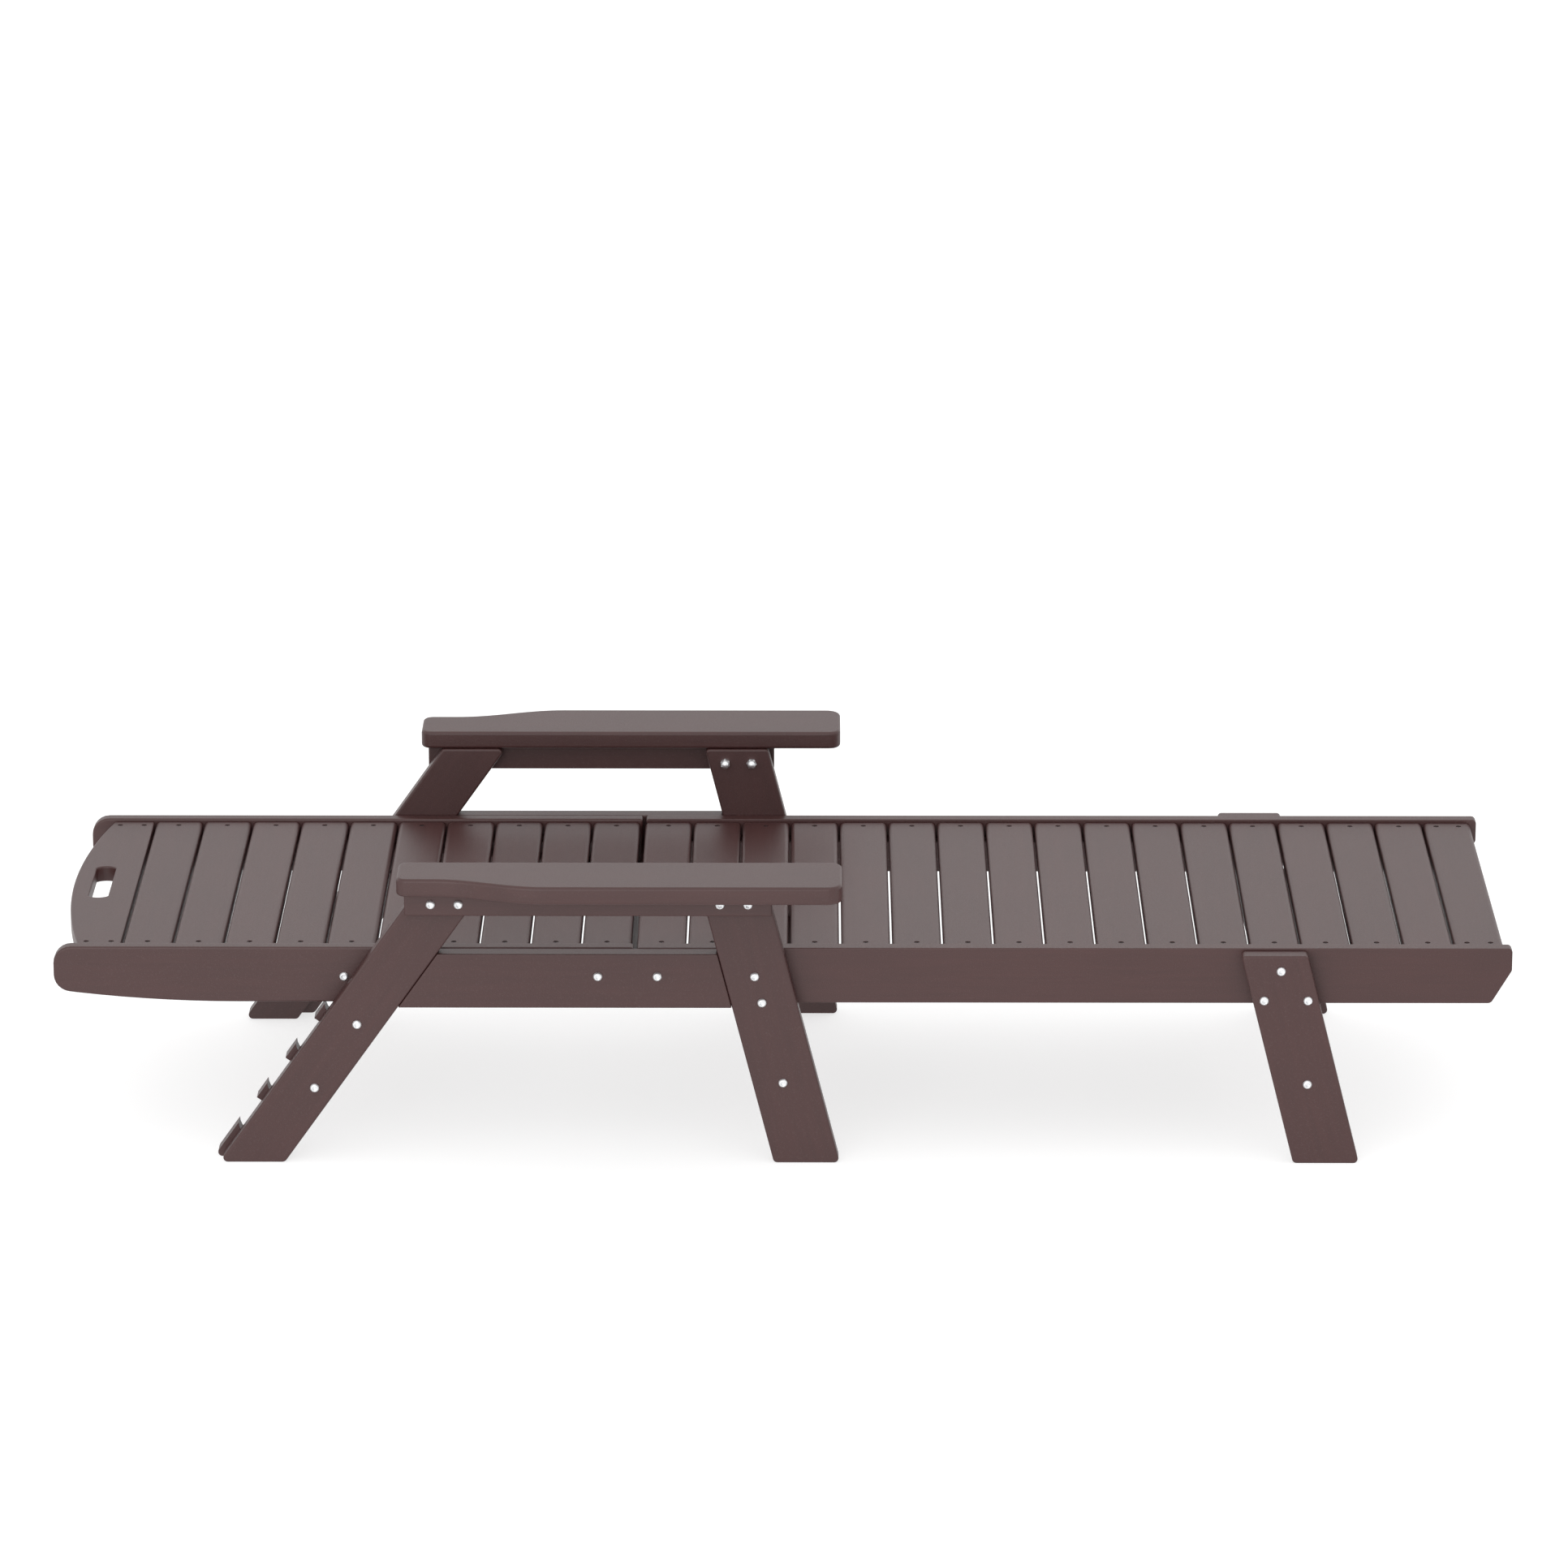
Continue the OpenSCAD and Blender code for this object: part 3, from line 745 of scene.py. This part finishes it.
def grown(name, start_mesh, tree, keys, values, templates):
    """Runs a tree on a start mesh and keeps the result as one plain mesh."""
    carrier = put_in_scene(name + "_start", start_mesh)
    modifier = carrier.modifiers.new("tree", "NODES")
    modifier.node_group = tree
    for label, value in values.items():
        modifier[keys[label]] = value
    mesh = finished_mesh(carrier)
    mesh.name = name
    carrier.modifiers.clear()
    bpy.data.objects.remove(carrier)
    bpy.data.meshes.remove(start_mesh)
    for spent in templates:
        old = spent.data
        bpy.data.objects.remove(spent)
        bpy.data.meshes.remove(old)
    bpy.data.node_groups.remove(tree)
    if not mesh.polygons:
        raise RuntimeError(f"{name} came out empty")
    return put_in_scene(name, mesh)


def slat_row(name, nodes, first_x, seed):
    template = put_in_scene(name + "_pattern", plain_slat(name + "_pattern", [0]))
    template.data.materials.append(lumber_across())
    tree, keys = slat_row_tree()
    piece = grown(name, bpy.data.meshes.new(name + "_start"), tree, keys, {
        "Slat": template, "Count": len(nodes), "Pitch": SLAT_PITCH * MM,
        "First Slat": (first_x * MM, 0, 0), "Tint Seed": seed, "Finish": lumber_across(),
    }, [template])
    even_shading(piece)
    return hand_over(piece, nodes)


def lathe(name, rings, sides=24):
    """Shape turned about Z from rings: radius, height, and how far it is hexagonal."""
    build = bmesh.new()
    made = []
    for radius, height, hexness in rings:
        ring = []
        for k in range(sides):
            angle = math.tau * k / sides
            apothem = math.cos(math.radians(30))
            flat = apothem / math.cos((angle % math.radians(60)) - math.radians(30))
            reach = radius * (1 - hexness + hexness * flat) * MM
            ring.append(build.verts.new((reach * math.cos(angle), reach * math.sin(angle),
                                         height * MM)))
        made.append(ring)
    for lower, upper in zip(made, made[1:]):
        for k in range(sides):
            build.faces.new([lower[k - 1], lower[k], upper[k], upper[k - 1]])
    build.faces.new(list(reversed(made[0])))
    build.faces.new(made[-1])
    bmesh.ops.recalc_face_normals(build, faces=build.faces[:])
    mesh = bpy.data.meshes.new(name)
    build.to_mesh(mesh)
    build.free()
    for polygon in mesh.polygons:
        polygon.use_smooth = True
    mesh.set_sharp_from_angle(angle=math.radians(32))
    return put_in_scene(name, mesh)


def button_head():
    radius = bpy.context.scene.lounge_sizes.bolt_head / 2 / MM
    return lathe("button_head_pattern", [
        (radius * 0.97, 0, 0), (radius, 0.35, 0), (radius, 1.1, 0), (radius * 0.93, 2.2, 0),
        (radius * 0.80, 3.3, 0), (radius * 0.66, 4.0, 0), (3.7, 4.2, 0),
        (3.4, 3.9, 1), (3.3, 0.6, 1)])


def cap_nut():
    return lathe("cap_nut_pattern", [
        (6.9, 0, 1), (7.2, 0.3, 1), (7.2, 5.9, 1), (6.3, 6.6, 0.3), (5.9, 7.2, 0),
        (5.4, 8.6, 0), (4.4, 10, 0), (2.8, 11.3, 0), (1.0, 11.95, 0)])


def screw_head():
    radius = bpy.context.scene.lounge_sizes.screw_head / 2 / MM
    return lathe("screw_head_pattern", [
        (radius, 0, 0), (radius, 2.6, 0), (radius - 0.35, 3.0, 0), (1.9, 3.0, 0),
        (1.6, 2.75, 1), (1.5, 1.4, 1)], 12)


def point_mesh(name, places):
    """Points with a turn, a size and a kind: (x, y, z), (turn), size, is it a nut."""
    mesh = bpy.data.meshes.new(name)
    mesh.from_pydata([p[0] for p in places], [], [])
    turn = mesh.attributes.new("turn", "FLOAT_VECTOR", "POINT")
    turn.data.foreach_set("vector", [c for p in places for c in p[1]])
    size = mesh.attributes.new("size", "FLOAT", "POINT")
    size.data.foreach_set("value", [p[2] for p in places])
    kind = mesh.attributes.new("is_nut", "BOOLEAN", "POINT")
    kind.data.foreach_set("value", [p[3] for p in places])
    return mesh


def drop_point_values(piece):
    """Removes the values that only placed the fasteners."""
    for spent in ("turn", "size", "is_nut"):
        if piece.data.attributes.get(spent):
            piece.data.attributes.remove(piece.data.attributes[spent])


def place_bolts(name, places, nodes):
    tree, keys = fastener_tree()
    templates = [button_head(), cap_nut()]
    piece = grown(name, point_mesh(name + "_start", places), tree, keys, {
        "Head": templates[0], "Nut": templates[1], "Finish": stainless()}, templates)
    drop_point_values(piece)
    return hand_over(piece, nodes)


def place_screws(name, centres, node_name):
    draw = random.Random(name)
    seat = (SLAT_TOP - POCKET_DEPTH) * MM
    places = [((x * MM, side * SCREW_Y * MM, seat), (0, 0, draw.uniform(0, math.tau)), 1.0, False)
              for x in centres for side in (1, -1)]
    tree, keys = fastener_tree()
    template = screw_head()
    piece = grown(name, point_mesh(name + "_start", places), tree, keys, {
        "Head": template, "Nut": template, "Finish": screw_coating()}, [template])
    drop_point_values(piece)
    return hand_over(piece, [node_name])


def outward(side, spin):
    """Turn that points a fastener away from the middle plane on one side."""
    return (-side * math.pi / 2, spin, 0)


# Operators ------------------------------------------------------------------

class LOUNGE_OT_rails(bpy.types.Operator):
    """Make the seat rails and the rails of the reclining back"""
    bl_idname = "lounge.rails"
    bl_label = "Side Rails"

    def execute(self, context):
        edge = context.scene.lounge_sizes.board_edge
        side_pair("seat_rail", seat_rail_outline(), lumber_along(), edge)
        side_pair("back_rail", back_rail_outline(), lumber_along(), edge)
        return {"FINISHED"}


class LOUNGE_OT_legs(bpy.types.Operator):
    """Make the six leaning legs"""
    bl_idname = "lounge.legs"
    bl_label = "Legs"

    def execute(self, context):
        edge = context.scene.lounge_sizes.board_edge
        leaning = lumber_leaning("lumber_leg", math.radians(90) - math.atan(LEG_LEAN))
        rear = lumber_leaning("lumber_back_leg", math.radians(90) + BACK_LEG_ANGLE)
        side_pair("middle_leg", leaning_leg_outline(MIDDLE_LEG_X, ARMREST_LOW), leaning, edge)
        side_pair("front_leg", leaning_leg_outline(FRONT_LEG_X, FRONT_LEG_TOP), leaning, edge)
        side_pair("back_leg", back_leg_outline(), rear, edge)
        return {"FINISHED"}


class LOUNGE_OT_side_boards(bpy.types.Operator):
    """Make the boards between the back and middle legs, and the notched boards"""
    bl_idname = "lounge.side_boards"
    bl_label = "Side and Notched Boards"

    def execute(self, context):
        edge = context.scene.lounge_sizes.board_edge
        side_pair("side_board", side_board_outline(), lumber_along(), edge * 0.6)
        rear = lumber_leaning("lumber_back_leg", math.radians(90) + BACK_LEG_ANGLE)
        side_pair("notch_board", notch_board_outline(), rear, edge * 0.6)
        return {"FINISHED"}


class LOUNGE_OT_armrests(bpy.types.Operator):
    """Make the armrests and the support board under each"""
    bl_idname = "lounge.armrests"
    bl_label = "Armrests"

    def execute(self, context):
        sizes = context.scene.lounge_sizes
        for side, sign in (("right", -1), ("left", 1)):
            points = [(p.x, p.y, ARMREST_LOW * MM) for p in armrest_outline(sign)]
            thick = Vector((0, 0, (ARMREST_TOP - ARMREST_LOW) * MM))
            mesh = slab(f"{side}_armrest", points, thick)
            add_board(f"{side}_armrest", f"armrest_{side}", mesh, lumber_along(),
                      sizes.armrest_edge)
        support = rounded([(-509.5, 362), (-14, 362), (-14, 399), (-509.5, 399)], [3, 3, 0, 0])
        side_pair("arm_support", support, lumber_along(), sizes.board_edge)
        return {"FINISHED"}


class LOUNGE_OT_inner_boards(bpy.types.Operator):
    """Make the cleats under the slats and the stretchers between the legs"""
    bl_idname = "lounge.inner_boards"
    bl_label = "Cleats and Stretchers"

    def execute(self, context):
        edge = context.scene.lounge_sizes.board_edge
        side_pair("seat_cleat", box_outline("seat_cleat_right"), lumber_along(), edge * 0.7)
        side_pair("back_cleat", box_outline("back_cleat_right"), lumber_along(), edge * 0.7)
        for name, outline in (("middle_stretcher", box_outline("middle_stretcher")),
                              ("front_stretcher", box_outline("front_stretcher")),
                              ("seat_end_stretcher", seat_end_outline())):
            low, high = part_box(name)
            points = [(p.x, low.y, p.y) for p in outline]
            mesh = slab(name + "_board", points, Vector((0, high.y - low.y, 0)))
            add_board(name + "_board", name, mesh, lumber_across(), edge)
        return {"FINISHED"}


class LOUNGE_OT_slats(bpy.types.Operator):
    """Make the rows of slats on the seat and the back"""
    bl_idname = "lounge.slats"
    bl_label = "Slats"

    def execute(self, context):
        seat = [f"seat_slat_{k:02d}" for k in range(1, 17)]
        back = [f"back_slat_{k:02d}" for k in range(1, 11)]
        slat_row("seat_slats", seat, SEAT_SLAT_X, 3)
        slat_row("back_slats", back, BACK_SLAT_X - 9 * SLAT_PITCH, 8)
        foot = plain_slat("foot_slat_board", [-16, 16])
        for vertex in foot.vertices:
            vertex.co.x += FOOT_SLAT_X * MM
        for name, mesh, node_name in (("foot_slat_board", foot, "foot_slat"),
                                      ("head_slat_board", head_slat_mesh(), "head_slat")):
            mesh.materials.append(lumber_across())
            piece = put_in_scene(name, mesh)
            even_shading(piece)
            hand_over(piece, [node_name], random.Random(name).uniform(-1, 1))
        return {"FINISHED"}


class LOUNGE_OT_prop(bpy.types.Operator):
    """Make the folding prop: two arms and the bar between them"""
    bl_idname = "lounge.prop"
    bl_label = "Back Prop"

    def execute(self, context):
        edge = context.scene.lounge_sizes.board_edge
        side_pair("prop_arm", prop_arm_outline(), lumber_along(), edge * 0.8)
        low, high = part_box("prop_bar")
        outer, inner, rim = (high.x - low.x) / 2, (high.x - low.x) / 2 - 2.5 * MM, 0.5 * MM
        centre = Vector(((low.x + high.x) / 2, 0, (low.z + high.z) / 2))
        rings = [(inner, low.y + rim), (inner + rim, low.y), (outer - rim, low.y),
                 (outer, low.y + rim), (outer, high.y - rim), (outer - rim, high.y),
                 (inner + rim, high.y), (inner, high.y - rim)]
        sides = 36
        build = bmesh.new()
        made = [[build.verts.new(centre + Vector((r * math.cos(math.tau * k / sides), y,
                                                  r * math.sin(math.tau * k / sides))))
                 for k in range(sides)] for r, y in rings]
        for i, ring in enumerate(made):
            last = made[i - 1]
            for k in range(sides):
                build.faces.new([last[k - 1], last[k], ring[k], ring[k - 1]])
        bmesh.ops.recalc_face_normals(build, faces=build.faces[:])
        mesh = bpy.data.meshes.new("prop_tube")
        build.to_mesh(mesh)
        build.free()
        for polygon in mesh.polygons:
            polygon.use_smooth = True
        mesh.set_sharp_from_angle(angle=math.radians(35))
        mesh.materials.append(bar_aluminium())
        hand_over(put_in_scene("prop_tube", mesh), ["prop_bar"])
        return {"FINISHED"}


class LOUNGE_OT_bolts(bpy.types.Operator):
    """Make the bolt heads and cap nuts"""
    bl_idname = "lounge.bolts"
    bl_label = "Bolts and Cap Nuts"

    def execute(self, context):
        draw = random.Random(11)
        frame_places, back_places = [], []
        for side in (-1, 1):
            for x, z, base in BOLTS:
                face = max(abs(c.y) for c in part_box(base + "_right"))
                frame_places.append(((x * MM, side * face, z * MM),
                                     outward(side, draw.uniform(0, math.tau)), 1.0, False))
            for x, z, seat, size in NUTS:
                frame_places.append(((x * MM, side * seat * MM, z * MM),
                                     outward(-side, draw.uniform(0, math.tau)), size, True))
            x, z = PROP_PIVOT
            head = max(abs(c.y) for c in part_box("back_rail_right"))
            nut = min(abs(c.y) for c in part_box("prop_arm_right")) - 0.5 * MM
            back_places += [((x * MM, side * head, z * MM), outward(side, 0.4), 1.0, False),
                            ((x * MM, side * nut, z * MM), outward(-side, 0.2), 1.0, True)]
        place_bolts("frame_bolts_and_nuts", frame_places, ["frame_bolts"])
        place_bolts("prop_bolts_and_nuts", back_places, ["prop_pivot_bolts"])
        return {"FINISHED"}


class LOUNGE_OT_screws(bpy.types.Operator):
    """Make the screws that hold the slats"""
    bl_idname = "lounge.screws"
    bl_label = "Slat Screws"

    def execute(self, context):
        seat = [SEAT_SLAT_X + SLAT_PITCH * k for k in range(16)]
        back = [BACK_SLAT_X - SLAT_PITCH * k for k in range(10)]
        place_screws("seat_slat_screws", seat + [FOOT_SLAT_X - 16, FOOT_SLAT_X + 16],
                     "seat_screws")
        place_screws("back_slat_screws", back + list(HEAD_SCREWS), "back_screws")
        return {"FINISHED"}


class LOUNGE_OT_studio(bpy.types.Operator):
    """Make the floor, the lights and the camera"""
    bl_idname = "lounge.studio"
    bl_label = "Studio"

    def execute(self, context):
        scene = context.scene
        half = FLOOR_HALF
        mesh = bpy.data.meshes.new("studio_floor")
        mesh.from_pydata([(-half, -half, 0), (half, -half, 0), (half, half, 0),
                          (-half, half, 0)], [], [(0, 1, 2, 3)])
        floor_material, shader = empty_material("pale_floor")
        tree = floor_material.node_tree
        coords = node(tree, "ShaderNodeTexCoord").outputs["Object"]
        colour = tuple(scene.lounge_finish.floor_colour)
        shades = node(tree, "ShaderNodeMix", data_type="RGBA")
        shades.inputs["A"].default_value = (*[c * 0.985 for c in colour], 1)
        shades.inputs["B"].default_value = (*colour, 1)
        tree.links.new(noise(tree, coords, 2.0), shades.inputs["Factor"])
        tree.links.new(shades.outputs["Result"], shader.inputs["Base Color"])
        shader.inputs["Roughness"].default_value = 0.9
        shader.inputs["Specular IOR Level"].default_value = 0.1
        shader.inputs["Emission Color"].default_value = (1, 1, 1, 1)
        shader.inputs["Emission Strength"].default_value = FLOOR_GLOW
        mesh.materials.append(floor_material)
        floor = put_in_scene("studio_floor", mesh)

        world = bpy.data.worlds.new("studio_light")
        world.use_nodes = True
        backdrop = world.node_tree.nodes["Background"]
        backdrop.inputs["Color"].default_value = (1, 1, 1, 1)
        backdrop.inputs["Strength"].default_value = WORLD_LIGHT
        scene.world = world

        for name, place, size, power in LAMPS:
            lamp = bpy.data.lights.new(name, "AREA")
            lamp.shape = "SQUARE"
            lamp.size = size
            lamp.energy = power
            light = bpy.data.objects.new(name, lamp)
            light.location = place
            aim = Vector(LAMP_AIM) - Vector(place)
            light.rotation_euler = aim.to_track_quat("-Z", "Y").to_euler()
            scene.collection.objects.link(light)

        lens = bpy.data.cameras.new("camera")
        lens.lens = CAMERA_LENS
        lens.sensor_width = 36
        lens.clip_end = 200
        camera = bpy.data.objects.new("camera", lens)
        camera.location = CAMERA_PLACE
        camera.rotation_euler = CAMERA_TURN
        scene.collection.objects.link(camera)
        scene.camera = camera
        scene.view_settings.view_transform = "Standard"
        return {"FINISHED"}


OPERATORS = (LOUNGE_OT_rails, LOUNGE_OT_legs, LOUNGE_OT_side_boards, LOUNGE_OT_armrests,
             LOUNGE_OT_inner_boards, LOUNGE_OT_slats, LOUNGE_OT_prop, LOUNGE_OT_bolts,
             LOUNGE_OT_screws, LOUNGE_OT_studio)


class LOUNGE_PT_panel(bpy.types.Panel):
    """Lists the steps that build the lounge"""
    bl_idname = "LOUNGE_PT_panel"
    bl_label = "Chaise Lounge"
    bl_space_type = "VIEW_3D"
    bl_region_type = "UI"
    bl_category = "Lounge"

    def draw(self, context):
        layout = self.layout
        for settings in (context.scene.lounge_sizes, context.scene.lounge_finish):
            for name in settings.bl_rna.properties.keys():
                if name not in ("rna_type", "name"):
                    layout.prop(settings, name)
        for operator in OPERATORS:
            layout.operator(operator.bl_idname)


CLASSES = (LoungeSizes, LoungeFinish, *OPERATORS, LOUNGE_PT_panel)


def register():
    for cls in CLASSES:
        bpy.utils.register_class(cls)
    bpy.types.Scene.lounge_sizes = PointerProperty(type=LoungeSizes)
    bpy.types.Scene.lounge_finish = PointerProperty(type=LoungeFinish)


def unregister():
    del bpy.types.Scene.lounge_finish
    del bpy.types.Scene.lounge_sizes
    for cls in reversed(CLASSES):
        bpy.utils.unregister_class(cls)


def main():
    register()
    for operator in OPERATORS:
        category, name = operator.bl_idname.split(".")
        getattr(getattr(bpy.ops, category), name)()


if __name__ == "__main__":
    main()
